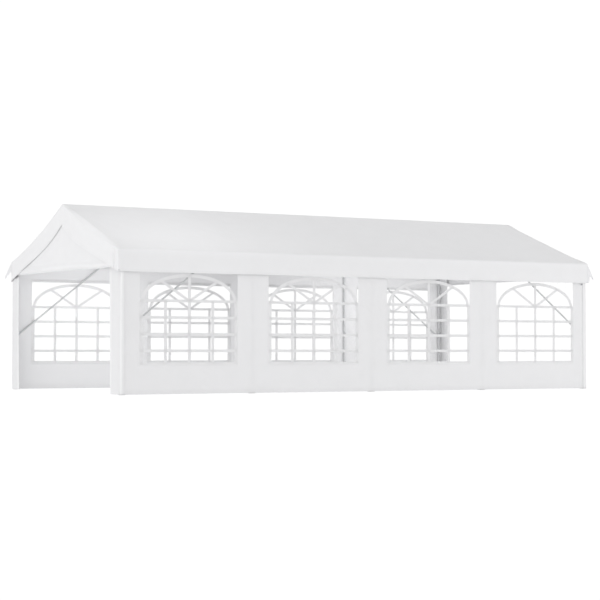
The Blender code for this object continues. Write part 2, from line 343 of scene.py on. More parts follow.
bolt_labels = ("Head Radius", "Head Height", "Washer Radius", "Material")
bolts, bolts_in = new_layout("bolts on points", *bolt_labels)
head_height = bolts_in["Head Height"]
head_sizes = {"Vertices": 6, "Radius": bolts_in["Head Radius"], "Depth": head_height}
head = add_node(bolts, "GeometryNodeMeshCylinder", head_sizes)
raise_by = add_node(bolts, "ShaderNodeCombineXYZ", {"Z": head_height})
raised_head = add_node(bolts, "GeometryNodeTransform", {"Geometry": head, "Translation": raise_by})
washer_sizes = {"Vertices": 16, "Radius": bolts_in["Washer Radius"], "Depth": head_height}
washer = add_node(bolts, "GeometryNodeMeshCylinder", washer_sizes)
bolt = add_node(bolts, "GeometryNodeJoinGeometry", {"Geometry": [raised_head, washer]})
place_copies(bolts, bolts_in, bolts_in["Geometry"], bolt, facing_turn(bolts, "Z"))

bolt_spots = []
for place, run, inward in socket_spots(BOLT_FROM_AXIS):
    bolt_spots.append((place + inward * SOCKET_RADIUS, inward))
brace_low, brace_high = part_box("knee_brace_near_left")
for end in ENDS.values():
    for side in SIDES.values():
        face = side * (POST_LINE - BRACE_RADIUS)
        foot_bolt = Vector((end * (POSTS[-1] - 0.040), face, brace_low.z + BRACE_BOLT_IN))
        head_bolt = Vector((end * (BRACE_BOLT_IN - brace_high.x), face, EAVE_AXIS - 0.042))
        bolt_spots += [(spot, Vector((0, -side, 0))) for spot in (foot_bolt, head_bolt)]
zinc = zinc_plated_steel()
bolt_sizes = {"Head Radius": 0.0065, "Head Height": 0.004, "Washer Radius": 0.009}
grow("connector_bolts", points_mesh("connector bolts", bolt_spots), bolts, zinc, bolt_sizes)


# Roof cover: one sheet of white coated PE tarpaulin, woven from flat tapes, an oblong with its corners cut
# out. It lies over the ridge, rafters and eave rails, and hangs down on all four sides as straight valances,
# sewn together at the corners. Outside the end rafters it has nothing under it, so there it droops.
HALF_LENGTH = 4.0
HALF_WIDTH = 2.0
EAVE_HEIGHT = 1.955
RIDGE_HEIGHT = 2.695
ROOF_RISE = RIDGE_HEIGHT - EAVE_HEIGHT
VALANCE_DROP = 0.308
SLOPE_RUN = math.hypot(HALF_WIDTH, ROOF_RISE)
SLOPE_COS = HALF_WIDTH / SLOPE_RUN
SLOPE_SIN = ROOF_RISE / SLOPE_RUN
CLOTH_THICKNESS = 0.001
FOLD_REACH = 0.030
RIDGE_REACH = 0.018
HEM_TURN = 0.030
HEM_GAP = 0.0028
HEM_ROLL = 0.004
BAY_SAG = 0.009
# How deep the free end droops on each slope, and how pointed its curve is
RAKE_DROOP = {(-1, -1): (0.042, 1.3), (-1, 1): (0.058, 1.0), (1, -1): (0.080, 2.0), (1, 1): (0.062, 1.3)}
RAKE_HEM_DROP = 0.066
FREE_FROM = 3.938
CORNER_BULGE = 0.018
NEAR_LEFT_BULGE = 0.023
BULGE_END = 1.884
SEAM_LIFT = 0.0004
SEAM_FROM_HEM = 0.026


def pe_tarpaulin(name, colour, painted_shade_colour, see_through):
    """Polyethylene tarpaulin, woven from tapes and coated on both sides: white, waxy rather than shiny, soft
    to light from behind, with the creases that it got in its carton and a crumple that never hangs out."""
    material, tree, place = new_material(name)
    flat = add_node(tree, "ShaderNodeUVMap", uv_map="cloth")
    # Tapes are 2.5 mm wide. They are drawn 10 mm wide, or they wouldn't show.
    tapes = add_node(tree, "ShaderNodeVectorMath", {0: flat, "Scale": math.pi / 0.010}, operation="SCALE")
    tape_axes = add_node(tree, "ShaderNodeSeparateXYZ", {"Vector": tapes}).outputs
    warp = add_node(tree, "ShaderNodeMath", {0: tape_axes["X"]}, operation="SINE")
    weft = add_node(tree, "ShaderNodeMath", {0: tape_axes["Y"]}, operation="SINE")
    weave = add_node(tree, "ShaderNodeMath", {0: warp, 1: weft}, operation="MULTIPLY")
    # Carton folds come every 0.5 m both ways
    folds = add_node(tree, "ShaderNodeVectorMath", {0: flat, "Scale": 1 / 0.5}, operation="SCALE")
    folded = add_node(tree, "ShaderNodeVectorMath", {0: folds}, operation="FRACTION")
    centred = add_node(tree, "ShaderNodeVectorMath", {0: folded, 1: (0.5, 0.5, 0.5)}, operation="SUBTRACT")
    from_fold = add_node(tree, "ShaderNodeVectorMath", {0: centred}, operation="ABSOLUTE")
    fold_axes = add_node(tree, "ShaderNodeSeparateXYZ", {"Vector": from_fold}).outputs
    nearest = add_node(tree, "ShaderNodeMath", {0: fold_axes["X"], 1: fold_axes["Y"]}, operation="MINIMUM")
    edge = {"From Min": 0.0, "From Max": 0.018, "To Min": 1.0, "To Max": 0.0}
    fading = {"Value": nearest, **edge}
    crease = add_node(tree, "ShaderNodeMapRange", fading, interpolation_type="SMOOTHSTEP")
    # The tone follows the crumple's relief and goes darker in its hollows: painted shade, not a colour of
    # the cloth.
    crumple, tone = two_tone(tree, place, 4.5, 4.0, painted_shade_colour, colour)
    crumple.inputs["Roughness"].default_value = 0.45
    crumple.inputs["Distortion"].default_value = 0.6
    crumple_relief = {"Height": crumple, "Strength": 0.5, "Distance": 0.012}
    crumpled = add_node(tree, "ShaderNodeBump", crumple_relief)
    crease_relief = {"Height": crease, "Strength": 0.35, "Distance": 0.0008, "Normal": crumpled}
    creased = add_node(tree, "ShaderNodeBump", crease_relief)
    tape_relief = {"Height": weave, "Strength": 0.2, "Distance": 0.0004, "Normal": creased}
    woven = add_node(tree, "ShaderNodeBump", tape_relief)
    gloss = add_node(tree, "ShaderNodeMapRange", {"Value": crumple, "To Min": 0.50, "To Max": 0.40})
    wax = {"Roughness": gloss, "Specular IOR Level": 0.35, "Normal": woven}
    front = add_node(tree, "ShaderNodeBsdfPrincipled", {"Base Color": tone, **wax})
    through = add_node(tree, "ShaderNodeBsdfTranslucent", {"Color": tone, "Normal": crumpled})
    surface = add_node(tree, "ShaderNodeMixShader", {"Fac": see_through, 1: front, 2: through})
    add_node(tree, "ShaderNodeOutputMaterial", {"Surface": surface})
    return material


def ease(share):
    """Rises smoothly from 0 to 1 as share does."""
    share = min(max(share, 0.0), 1.0)
    return share * share * (3 - 2 * share)


def soft_fold(past, reach):
    """Rounds a fold in a sheet. Past is how far the point lies past the fold along the sheet. It returns how
    far the point has come on the first run, which ends at zero, and how far it has gone down the second."""
    if past <= -reach:
        return past, 0.0
    if past >= reach:
        return 0.0, past
    share = (past + reach) / (2 * reach)
    return -reach * (1 - share) ** 2, reach * share**2


def hem_inset(back):
    """How far in a turned edge lies, this far back from its turn."""
    return HEM_GAP * min(back / HEM_ROLL, 1.0)


def turned_back(drop, length):
    """Where a point lies on an edge that is turned back on itself: how far down, and how far in."""
    back = max(drop - length, 0.0)
    return drop - 2 * back, hem_inset(back)


def grid_lines(stops, pitch):
    """Spaces lines evenly from stop to stop, no further apart than pitch."""
    lines = [stops[0]]
    for low, high in zip(stops, stops[1:]):
        steps = max(1, math.ceil((high - low) / pitch - 0.001))
        lines += [low + (high - low) * step / steps for step in range(1, steps + 1)]
    return lines


def ripple(x, y, wave, seed):
    """Smooth noise from -1 to 1, whose waves are about that long."""
    return noise.noise(Vector((x / wave, y / wave, seed)))


def bump(offset, width):
    """A single smooth hump, 1 at no offset, and nearly gone at twice its width."""
    return math.exp(-((offset / width) ** 2))


def cloth_mesh(name, columns, rows, skin, outward, left_out=None, sewn=None, doubled=None):
    """Lays a grid of cloth over skin(u, v), with u and v in metres of flat cloth. Outward is a way that its
    outer face looks. Cells that left_out names are cut away, those that doubled names have the second
    material, and sewn says which corners of the grid are one."""
    bm = bmesh.new()
    flat = bm.loops.layers.uv.new("cloth")
    knots = {}
    for i in range(len(columns) - 1):
        for j in range(len(rows) - 1):
            middle = ((columns[i] + columns[i + 1]) / 2, (rows[j] + rows[j + 1]) / 2)
            if left_out and left_out(*middle):
                continue
            cell = [(i, j), (i + 1, j), (i + 1, j + 1), (i, j + 1)]
            owners = [sewn(*knot) if sewn else knot for knot in cell]
            for knot in owners:
                if knot not in knots:
                    knots[knot] = bm.verts.new(skin(columns[knot[0]], rows[knot[1]]))
            face = bm.faces.new([knots[knot] for knot in owners])
            face.smooth = True
            face.material_index = 1 if doubled and doubled(*middle) else 0
            for loop, (u, v) in zip(face.loops, cell):
                loop[flat].uv = (columns[u], rows[v])
    bm.normal_update()
    facing = sum((face.normal * face.calc_area() for face in bm.faces), Vector())
    if facing.dot(outward) < 0:
        bmesh.ops.reverse_faces(bm, faces=bm.faces[:])
    mesh = bpy.data.meshes.new(name)
    bm.to_mesh(mesh)
    bm.free()
    return mesh


def thicken(piece, thickness):
    """Gives a sheet its thickness inwards from its outer face, with crisp cut edges."""
    solid = piece.modifiers.new("thickness", "SOLIDIFY")
    solid.thickness = thickness
    solid.offset = -1
    piece.modifiers.new("round shading", "NODES").node_group = shading


def add_cloth(name, grid, outward, material, slot, node=None, thickness=CLOTH_THICKNESS, **cells):
    """Makes a sheet with its thickness and finish, and hides its CAD node if it names one. The grid is its
    columns, rows and skin, and the cells are the ones that are cut away, sewn or doubled."""
    mesh = cloth_mesh(name, *grid, outward, **cells)
    mesh.materials.append(material)
    if "doubled" in cells:
        mesh.materials.append(doubled_cloth_with_painted_highlight)
    piece = add_object(name, mesh)
    thicken(piece, thickness)
    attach(piece, "root")
    if node:
        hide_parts(node)
    return piece


def rake_droop(end, side, along_slope):
    """How far the free end of the cover droops, from the ridge at 0 to the eave at 1."""
    depth, fullness = RAKE_DROOP[end, side]
    return depth * abs(math.sin(math.pi * min(along_slope, 1.0))) ** fullness


def hem_belly(along_slope):
    """How much of its droop the hem under the free end has. It hangs lowest a third of the way down."""
    return abs(math.sin(math.pi * min(along_slope, 1.0) ** 0.576)) ** 1.8


def blown_out(end, side, y):
    """How far the rake valance at the near left corner stands out. It is held in only at the corner seam."""
    if (end, side) != (-1, -1):
        return 0.0
    return NEAR_LEFT_BULGE * (1 - ease((y - BULGE_END) / 0.013)) * ease((y - 0.05) / 0.5)


def cover_skin(u, w):
    """The cover's outer face. Flat cloth runs u along the tent and w across it, both from the middle."""
    end = math.copysign(1, u)
    side = math.copysign(1, w)
    past_rake = abs(u) - HALF_LENGTH
    along, rake_drop = soft_fold(past_rake, FOLD_REACH)
    across, eave_drop = soft_fold(abs(w) - SLOPE_RUN, FOLD_REACH)
    eave_drop, eave_inset = turned_back(eave_drop, VALANCE_DROP)
    rake_drop, rake_inset = turned_back(rake_drop, VALANCE_DROP)
    run = SLOPE_RUN + across
    x = HALF_LENGTH + along - rake_inset
    y = run * SLOPE_COS - eave_inset
    z = RIDGE_HEIGHT - run * SLOPE_SIN
    if run < RIDGE_REACH:
        share = (run + RIDGE_REACH) / (2 * RIDGE_REACH)
        z = RIDGE_HEIGHT - SLOPE_SIN * RIDGE_REACH * ((1 - share) ** 2 + share**2)
    # the sewn corners turn from one valance into the other
    if past_rake <= 0:
        hang = ease((eave_drop - FOLD_REACH / 4) / FOLD_REACH)
        y -= rake_drop * hang
        z -= eave_drop + rake_drop * (1 - hang)
    else:
        hang = ease((rake_drop - FOLD_REACH / 4) / FOLD_REACH)
        x -= eave_drop * hang
        z -= rake_drop + eave_drop * (1 - hang)
    # sag between the rafters, and droop outside the end ones
    share_down = run / SLOPE_RUN
    belly = math.sin(math.pi * min(share_down, 1.0))
    lower = max(rake_drop, 0.0) / VALANCE_DROP if past_rake > 0 else 0.0
    outside = ease((x - FREE_FROM) / 0.050)
    z -= BAY_SAG * belly * math.sin(math.pi * min(x, POSTS[-1]) / POST_PITCH) ** 2
    z -= rake_droop(end, side, share_down) * outside * (1 - lower)
    z -= RAKE_HEM_DROP * hem_belly(share_down) * lower
    x += outside * CORNER_BULGE * share_down**3
    if past_rake > 0:
        x += blown_out(end, side, y) * ease(rake_drop / 0.10)
    # soft crumple of the slopes, and the sway of the valances
    z += 0.0022 * ripple(end * x, side * y, 0.55, 3.0) + 0.0008 * ripple(end * x, side * y, 0.14, 5.0)
    if eave_drop > FOLD_REACH and past_rake <= 0:
        depth = eave_drop / VALANCE_DROP
        inboard = ease((HALF_LENGTH - x) / 0.35)
        sway = 0.003 + 0.004 * ripple(end * x, side, 0.42, 7.0) + 0.003 * ripple(end * x, side, 0.16, 9.0)
        y += sway * depth**1.4 * inboard
    if rake_drop > FOLD_REACH and past_rake > 0:
        inboard = ease((HALF_WIDTH - y) / 0.35)
        x += 0.005 * ripple(end, side * y, 0.38, 11.0) * lower**1.4 * inboard
    return Vector((end * x, side * y, z))


def mirrored(stops):
    """Stops from the middle outwards, repeated on the other side. A stop in the middle comes once."""
    return [-stop for stop in reversed(stops) if stop] + stops


def edge_lines(fold):
    """Grid lines from the start of a fold outwards: round it, down the valance and back up its hem."""
    hem = fold + VALANCE_DROP
    round_fold = [fold + FOLD_REACH * step / 3 for step in range(-3, 4)]
    hang = grid_lines([fold + FOLD_REACH, hem - HEM_ROLL, hem], 0.045)
    return round_fold + hang[1:] + [hem + 0.002, hem + 0.005, hem + HEM_TURN]


bulge_rows = [BULGE_END / SLOPE_COS + 0.0035 * step for step in range(5)]
half_rows = grid_lines([0.0, RIDGE_REACH], 0.009)
half_rows += grid_lines([RIDGE_REACH] + bulge_rows + [SLOPE_RUN - FOLD_REACH], 0.050)[1:-1]
cover_rows = mirrored(half_rows + edge_lines(SLOPE_RUN))
cover_columns = mirrored(grid_lines([0.0, 3.918], 0.042) + [3.931, 3.944, 3.957] + edge_lines(HALF_LENGTH))
LEFT_RAKE, RIGHT_RAKE = (cover_columns.index(end * HALF_LENGTH) for end in (-1, 1))
NEAR_EAVE, FAR_EAVE = (cover_rows.index(side * SLOPE_RUN) for side in (-1, 1))


def sewn_corner(i, j):
    """At each corner the end of a rake valance is sewn to the end of a side valance, knot to knot."""
    beyond_rake = LEFT_RAKE - i if i < LEFT_RAKE else max(i - RIGHT_RAKE, 0)
    if beyond_rake and j in (NEAR_EAVE, FAR_EAVE):
        column = LEFT_RAKE if i < LEFT_RAKE else RIGHT_RAKE
        return column, NEAR_EAVE - beyond_rake if j == NEAR_EAVE else FAR_EAVE + beyond_rake
    return i, j


def stitching_thread():
    """Polyester sewing thread: white, a little fuzzy, duller than the coated cloth around it."""
    material, tree, place = new_material("white polyester thread")
    _, tone = two_tone(tree, place, 900.0, 2.0, "DADADB", "EBEBEB")
    surface = add_node(tree, "ShaderNodeBsdfPrincipled", {"Base Color": tone, "Roughness": 0.8})
    add_node(tree, "ShaderNodeOutputMaterial", {"Surface": surface})
    return material


stitches, stitches_in = new_layout("stitches along a seam", "Pitch", "Length", "Radius", "Material")
seam = add_node(stitches, "GeometryNodeMeshToCurve", {"Mesh": stitches_in["Geometry"]})
stitch_pitch = {"Curve": seam, "Length": stitches_in["Pitch"]}
spaced = add_node(stitches, "GeometryNodeResampleCurve", stitch_pitch, mode="LENGTH")
stitch_form = {"Vertices": 4, "Radius": stitches_in["Radius"], "Depth": stitches_in["Length"]}
stitch = add_node(stitches, "GeometryNodeMeshCylinder", stitch_form)
seam_way = add_node(stitches, "GeometryNodeInputTangent")
stitch_turn = add_node(stitches, "FunctionNodeAlignRotationToVector", {"Vector": seam_way}, axis="Z")
place_copies(stitches, stitches_in, spaced, stitch, stitch_turn)


def seam_line(low, high, skin, lift):
    """Points along a seam that stops 10 mm short of both ends. Skin gives the cloth at a stop along it, and
    the points lie just clear of it."""
    return [skin(stop) + lift * SEAM_LIFT for stop in grid_lines([low + 0.01, high - 0.01], 0.04)]


def seam_mesh(name, seams):
    """A mesh of edges, one chain for each seam's points."""
    mesh = bpy.data.meshes.new(name)
    points, edges = [], []
    for chain in seams:
        start = len(points)
        points += chain
        edges += [(start + step, start + step + 1) for step in range(len(chain) - 1)]
    mesh.from_pydata(points, edges, [])
    return mesh


thread = stitching_thread()
# Each stitch is 9 mm long and 1.2 mm thick, twice the real size, to show at all
STITCH_SIZES = {"Pitch": 0.012, "Length": 0.009, "Radius": 0.0006}
# Roof, gables, walls, strips and flaps are one cloth. Each piece's white and see-through share are set apart
# from the others as painted light or painted shade, to suit how brightly that piece is lit.
cover_cloth = pe_tarpaulin("white coated PE tarpaulin, roof", "F3F3F4", "F0F0F1", 0.20)
# Two layers let less light through than one. Their white is also a touch lighter than the gable's and the
# strips': a painted highlight on the hems and laps.
doubled_cloth_with_painted_highlight = pe_tarpaulin("white coated PE tarpaulin, doubled", "F0F0F1", "EDEDEE", 0.13)
cover = add_cloth(
    "roof_cover_sheet",
    (cover_columns, cover_rows, cover_skin),
    UP,
    cover_cloth,
    "roof_sheet",
    "roof_cover",
    left_out=lambda u, w: abs(u) > HALF_LENGTH and abs(w) > SLOPE_RUN,
    sewn=sewn_corner,
)
seam_drop = VALANCE_DROP - SEAM_FROM_HEM
cover_seams = []
for side in SIDES.values():
    seam_w = side * (SLOPE_RUN + seam_drop)
    lift = Vector((0, side, 0))
    cover_seams.append(seam_line(-HALF_LENGTH, HALF_LENGTH, lambda u: cover_skin(u, seam_w), lift))
for end in ENDS.values():
    seam_u = end * (HALF_LENGTH + seam_drop)
    lift = Vector((end, 0, 0))
    cover_seams.append(seam_line(-SLOPE_RUN, SLOPE_RUN, lambda w: cover_skin(seam_u, w), lift))
cover_seam_mesh = seam_mesh("cover seams", cover_seams)
cover_stitching = grow("cover_stitching", cover_seam_mesh, stitches, thread, STITCH_SIZES)


# Gable panels: a triangle of the same tarpaulin at each end, sewn up under the cover in the rake valance.
# Its hem is a deep one, turned in twice, which curls in under its own weight and sags on the near side.
GABLE_LINE = 3.9905
GABLE_HEM = 1.737
GABLE_EDGE = 1.972
GABLE_HEM_GAP = 0.0044


def gable_hem(y):
    """How high the hem of the gable panel hangs."""
    return GABLE_HEM - 0.028 * bump(y + 1.35, 0.85)


def gable_cuff(y):
    """How high the cloth that is turned in at the hem reaches up behind the panel."""
    return 0.030 + 0.048 * bump(y + 0.4, 1.3)


def gable_top(end, y):
    """How high the gable panel reaches under the drooping end of the cover."""
    droop = rake_droop(end, math.copysign(1, y), abs(y) / HALF_WIDTH)
    return RIDGE_HEIGHT - abs(y) * ROOF_RISE / HALF_WIDTH - 0.012 - droop


def gable_curl(above):
    """How far out the panel stands this far above its hem. It bellies a little and then curls in."""
    return 0.012 * bump(above - 0.050, 0.035) - 0.020 * (1 - ease(above / 0.028))


def gable_skin_at(end):
    """The gable panel's outer face on one end: y across the tent, v from 1 at the top to 0 at the hem, and
    from there to -1 up the cloth that is turned in."""

    def skin(y, v):
        hem = gable_hem(y)
        top = max(gable_top(end, y), hem + 0.01)
        drape = 0.0015 * ripple(y, max(v, 0), 0.5, 21.0) + 0.0010 * ripple(3 * y, max(v, 0), 0.4, 23.0)
        height = (top - hem) * max(v, 0)
        follow = blown_out(end, math.copysign(1, y), abs(y)) * ease((top - hem - height) / 0.14)
        if v >= 0:
            out = GABLE_LINE + drape * (1 - v) + follow + gable_curl(height)
            return Vector((end * out, y, hem + height))
        rise = -v * gable_cuff(y)
        inset = GABLE_HEM_GAP * min(rise / HEM_ROLL, 1.0)
        return Vector((end * (GABLE_LINE + drape + follow + gable_curl(rise) - inset), y, hem + rise))

    return skin


# The gables' white is a touch darker than the roof's: painted shade.
gable_cloth = pe_tarpaulin("white coated PE tarpaulin, gables", "EFEFF0", "ECECED", 0.20)
gable_columns = grid_lines([-GABLE_EDGE, GABLE_EDGE], 0.045)
gable_rows = [-1.0, -0.75, -0.5, -0.35, -0.2, -0.1, -0.05] + grid_lines([0.0, 0.10], 0.008)
gable_rows += grid_lines([0.10, 0.20], 0.02)[1:] + grid_lines([0.20, 1.0], 0.06)[1:]
for end_name, end in ENDS.items():
    gable = add_cloth(
        f"gable_sheet_{end_name}",
        (gable_columns, gable_rows, gable_skin_at(end)),
        Vector((end, 0, 0)),
        gable_cloth,
        "gable_sheet",
        f"gable_panel_{end_name}",
        doubled=lambda y, v: v * (gable_top(end, y) - gable_hem(y)) < gable_cuff(y),
    )


# Side walls: one length of tarpaulin along each side, hung from the eave rail and tied round the legs, with
# four openings for the windows. It is drawn tight over the corner legs, lies slack between the others, and
# its top and bottom edges are turned in as hems.
WALL_TOP = 1.900
WALL_BOTTOM = 0.0065
WALL_HEM = 0.045
WALL_END = 3.944
WALL_FLAT = 1.9775
WINDOW_WIDTH = 1.480
WINDOW_BOTTOM = 0.396
WINDOW_TOP = 1.682
# Middles of the openings, a little off the middles of the bays
WINDOW_CENTRES = {"near": (-2.9375, -0.9665, 1.0045, 2.9845), "far": (-2.9415, -0.9705, 1.0025, 2.9755)}
FLARE_TOP = 1.685
FLARE_FADE = 0.07
# How far the cloth stands out past each corner leg, at the ground and at the valance
END_FLARE = {
    ("near", "left"): (0.004, 0.0),
    ("far", "left"): (0.048, 0.044),
    ("near", "right"): (0.032, 0.028),
    ("far", "right"): (0.032, 0.028),
}


def wall_out(side, x, z):
    """How far out the wall's outer face lies at a place on it."""
    slack = math.sin(math.pi * x / POST_PITCH) ** 2 * math.sin(math.pi * min(z / WALL_TOP, 1.0))
    out = WALL_FLAT - 0.0035 * slack + sum(0.0052 * bump(x - post, 0.045) for post in POSTS[1:-1])
    from_end = WALL_END - abs(x)
    round_leg = 1 - (1 - min(from_end / TUBE_RADIUS, 1)) ** 2
    over_leg = 1.9777 + 0.0048 * round_leg - 0.0050 * ease((from_end - 0.034) / 0.035)
    out += (over_leg - out) * ease((abs(x) - 3.70) / 0.08)
    free = ease((3.86 - abs(x)) / 0.12)
    out += free * (0.0022 * ripple(x, z, 0.8, 31.0 + side) + 0.0010 * ripple(x, 0.4 * z, 0.2, 33.0 + side))
    out += free * 0.004 * ease((0.35 - z) / 0.35) * ripple(x, 0.0, 0.45, 35.0 + side)
    return out


def end_flare(corner, x, z):
    """How far the cloth at a corner hangs out past the leg, most at the ground, nothing at the valance."""
    at_ground, at_valance = END_FLARE[corner]
    flare = at_ground + (at_valance - at_ground) * min(z / 1.60, 1.0)
    return flare * ease((x - 3.90) / 0.055) * (1 - ease((z - FLARE_TOP) / FLARE_FADE))


def wall_skin_at(side_name):
    """The wall's outer face on one side, for x along the tent and z up it."""
    side = SIDES[side_name]

    def skin(x, z):
        z, top_inset = turned_back(z, WALL_TOP)
        below, foot_inset = turned_back(-z, -WALL_BOTTOM)
        z = -below
        flare = end_flare((side_name, "left" if x < 0 else "right"), abs(x), z)
        out = wall_out(side, x, z) - top_inset - foot_inset
        return Vector((x + math.copysign(flare, x), side * out, z))

    return skin


# The walls' white is darker than the roof's: painted shade.
wall_cloth = pe_tarpaulin("white coated PE tarpaulin, walls", "EDEDEE", "EAEAEB", 0.18)
corner_stops = [3.86, 3.872, 3.884, 3.896, 3.908, 3.918, 3.926, 3.933, 3.939, WALL_END]
foot_stops = [WALL_BOTTOM + step for step in (-WALL_HEM, -HEM_ROLL, 0, HEM_ROLL)]
top_stops = [WALL_TOP + step for step in (-HEM_ROLL, 0, HEM_ROLL, WALL_HEM)]
wall_rows = grid_lines(foot_stops + [WINDOW_BOTTOM, WINDOW_TOP] + top_stops, 0.048)
for side_name, side in SIDES.items():
    halves = (-WINDOW_WIDTH / 2, WINDOW_WIDTH / 2)
    jambs = [centre + half for centre in WINDOW_CENTRES[side_name] for half in halves]
    wall_columns = grid_lines(sorted(mirrored(corner_stops) + jambs), 0.045)
    wall_skin = wall_skin_at(side_name)

    def in_window(x, z):
        in_bay = any(abs(x - centre) < WINDOW_WIDTH / 2 for centre in WINDOW_CENTRES[side_name])
        return in_bay and WINDOW_BOTTOM < z < WINDOW_TOP

    wall = add_cloth(
        f"side_wall_sheet_{side_name}",
        (wall_columns, wall_rows, wall_skin),
        Vector((0, side, 0)),
        wall_cloth,
        "wall_sheet",
        f"side_wall_{side_name}",
        left_out=in_window,
    )
    seams = []
    for seam_z in (WALL_BOTTOM + WALL_HEM - 0.006, WALL_TOP - WALL_HEM + 0.006):
        lift = Vector((0, side, 0))
        seams.append(seam_line(-WALL_END, WALL_END, lambda x: wall_skin(x, seam_z), lift))
    wall_seams = seam_mesh(f"wall seams {side_name}", seams)
    stitching = grow(f"wall_stitching_{side_name}", wall_seams, stitches, thread, STITCH_SIZES)


# Windows: eight panes of clear soft PVC film, each welded behind its opening with a 14 mm lap. The arch and
# the glazing bars are only printed on the film, in white.
FILM_THICKNESS = 0.0005
FILM_LAP = 0.014
FILM_LIFT = 0.0014
PVC_IOR = 1.53


def clear_soft_pvc():
    """Soft PVC film: glass clear but never flat, so it shows as broken reflections and a thin milky haze."""
    material, tree, place = new_material("clear soft PVC film")
    # waves of about 120 mm, stretched upwards, as in film that has hung from its top edge
    hung = add_node(tree, "ShaderNodeMapping", {"Vector": place, "Scale": (1.0, 1.0, 0.35)})
    waves, tone = two_tone(tree, hung, 8.0, 2.5, "F4F5F5", "FBFBFB")
    rippled = add_node(tree, "ShaderNodeBump", {"Height": waves, "Strength": 0.6, "Distance": 0.006})
    sheen = {"Base Color": tone, "Roughness": 0.10, "IOR": PVC_IOR, "Normal": rippled}
    gloss = add_node(tree, "ShaderNodeBsdfPrincipled", sheen)
    clear = add_node(tree, "ShaderNodeBsdfTransparent", {"Color": (1, 1, 1, 1)})
    glint = add_node(tree, "ShaderNodeFresnel", {"IOR": PVC_IOR, "Normal": rippled})
    share = add_node(tree, "ShaderNodeMapRange", {"Value": glint, "To Min": 0.008, "To Max": 0.4})
    surface = add_node(tree, "ShaderNodeMixShader", {"Fac": share, 1: clear, 2: gloss})
    add_node(tree, "ShaderNodeOutputMaterial", {"Surface": surface})
    return material


def printed_ink():
    """White screen ink on film: matt and nearly opaque, a little thin where the screen lifted."""
    material, tree, place = new_material("white screen print")
    _, tone = two_tone(tree, place, 35.0, 3.0, "EEEEEF", "F2F2F2")
    front = add_node(tree, "ShaderNodeBsdfPrincipled", {"Base Color": tone, "Roughness": 0.6})
    through = add_node(tree, "ShaderNodeBsdfTranslucent", {"Color": tone})
    surface = add_node(tree, "ShaderNodeMixShader", {"Fac": 0.50, 1: front, 2: through})
    add_node(tree, "ShaderNodeOutputMaterial", {"Surface": surface})
    return material


PRINT_HALF_WIDTH = 0.716
ARCH_HALF_WIDTH = 0.700
SPRINGING = 1.265
ROW_PITCH = 0.2252
ROWS = 4
PRINT_BOTTOM = 0.415
ARCH_TOP = 1.611
ARCH_STEPS = 44
DIAGONAL_TURN = math.radians(52)
ROW_INK = 0.037
BORDER_INK = 0.046
UPRIGHT_INK = 0.042
ARCH_INK = 0.044
DIAGONAL_INK = 0.036
INK_STEP = 0.035
INK_THICKNESS = 0.0003
INK_GAP = 0.0001


def straight(start, end):
    """Points along a straight printed line."""
    start, end = Vector(start), Vector(end)
    steps = math.ceil((end - start).length / INK_STEP)
    return [start.lerp(end, step / steps) for step in range(steps + 1)]


def on_arch(turn):
    """A point on the printed arch, at a turn from its left foot."""
    rise = (ARCH_TOP - SPRINGING) * math.sin(turn)
    return Vector((-ARCH_HALF_WIDTH * math.cos(turn), SPRINGING + rise))


def printed_lines():
    """Every line of one window's print, as its points from the window's middle, its width and its layer."""
    lines = []
    reach = PRINT_HALF_WIDTH + BORDER_INK / 2
    for z in [SPRINGING - ROW_PITCH * row for row in range(ROWS)] + [PRINT_BOTTOM]:
        lines.append((straight((-reach, z), (reach, z)), ROW_INK, 0))
    for quarter in (-2, -1, 0, 1, 2):
        x = PRINT_HALF_WIDTH * quarter / 2
        top = ARCH_TOP if quarter == 0 else SPRINGING
        width = BORDER_INK if abs(quarter) == 2 else UPRIGHT_INK
        lines.append((straight((x, PRINT_BOTTOM), (x, top)), width, 1))
    arch = [on_arch(math.pi * step / ARCH_STEPS) for step in range(ARCH_STEPS + 1)]
    lines.append((arch, ARCH_INK, 2))
    for turn in (DIAGONAL_TURN, math.pi - DIAGONAL_TURN):
        lines.append((straight((0, SPRINGING), on_arch(turn)), DIAGONAL_INK, 3))
    return lines


def ink_mesh(name, side, centre):
    """The print of one window, which lies on the outer face of its film."""
    corners, faces = [], []
    for points, width, layer in printed_lines():
        lift = INK_GAP + (INK_THICKNESS + INK_GAP) * (1 + layer)
        for number, point in enumerate(points):
            way = (points[min(number + 1, len(points) - 1)] - points[max(number - 1, 0)]).normalized()
            aside = Vector((-way.y, way.x)) * width / 2
            for edge in (point + aside, point - aside):
                x, z = centre + edge.x, edge.y
                corners.append((x, side * (wall_out(side, x, z) - FILM_LIFT + lift), z))
            if number:
                last = len(corners) - 4
                # the corners go round so that the face looks outwards
                way_round = (0, 1, 3, 2) if side < 0 else (0, 2, 3, 1)
                faces.append([last + step for step in way_round])
    mesh = bpy.data.meshes.new(name)
    mesh.from_pydata(corners, [], faces)
    return mesh


film = clear_soft_pvc()
ink = printed_ink()
half_pane = WINDOW_WIDTH / 2 + FILM_LAP
pane_rows = grid_lines([WINDOW_BOTTOM - FILM_LAP, WINDOW_TOP + FILM_LAP], 0.05)
for side_name, side in SIDES.items():
    for number, centre in enumerate(WINDOW_CENTRES[side_name], 1):
        pane_columns = grid_lines([centre - half_pane, centre + half_pane], 0.05)

        def pane_skin(x, z):
            return Vector((x, side * (wall_out(side, x, z) - FILM_LIFT), z))

        pane = add_cloth(
            f"window_film_{side_name}_{number}",
            (pane_columns, pane_rows, pane_skin),
            Vector((0, side, 0)),
            film,
            "window_film",
            f"window_{side_name}_{number}",
            FILM_THICKNESS,
        )
        bars = ink_mesh(f"window print {side_name} {number}", side, centre)
        bars.materials.append(ink)
        bars_piece = add_object(f"window_print_{side_name}_{number}", bars)
        thicken(bars_piece, INK_THICKNESS)
        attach(bars_piece, "root")


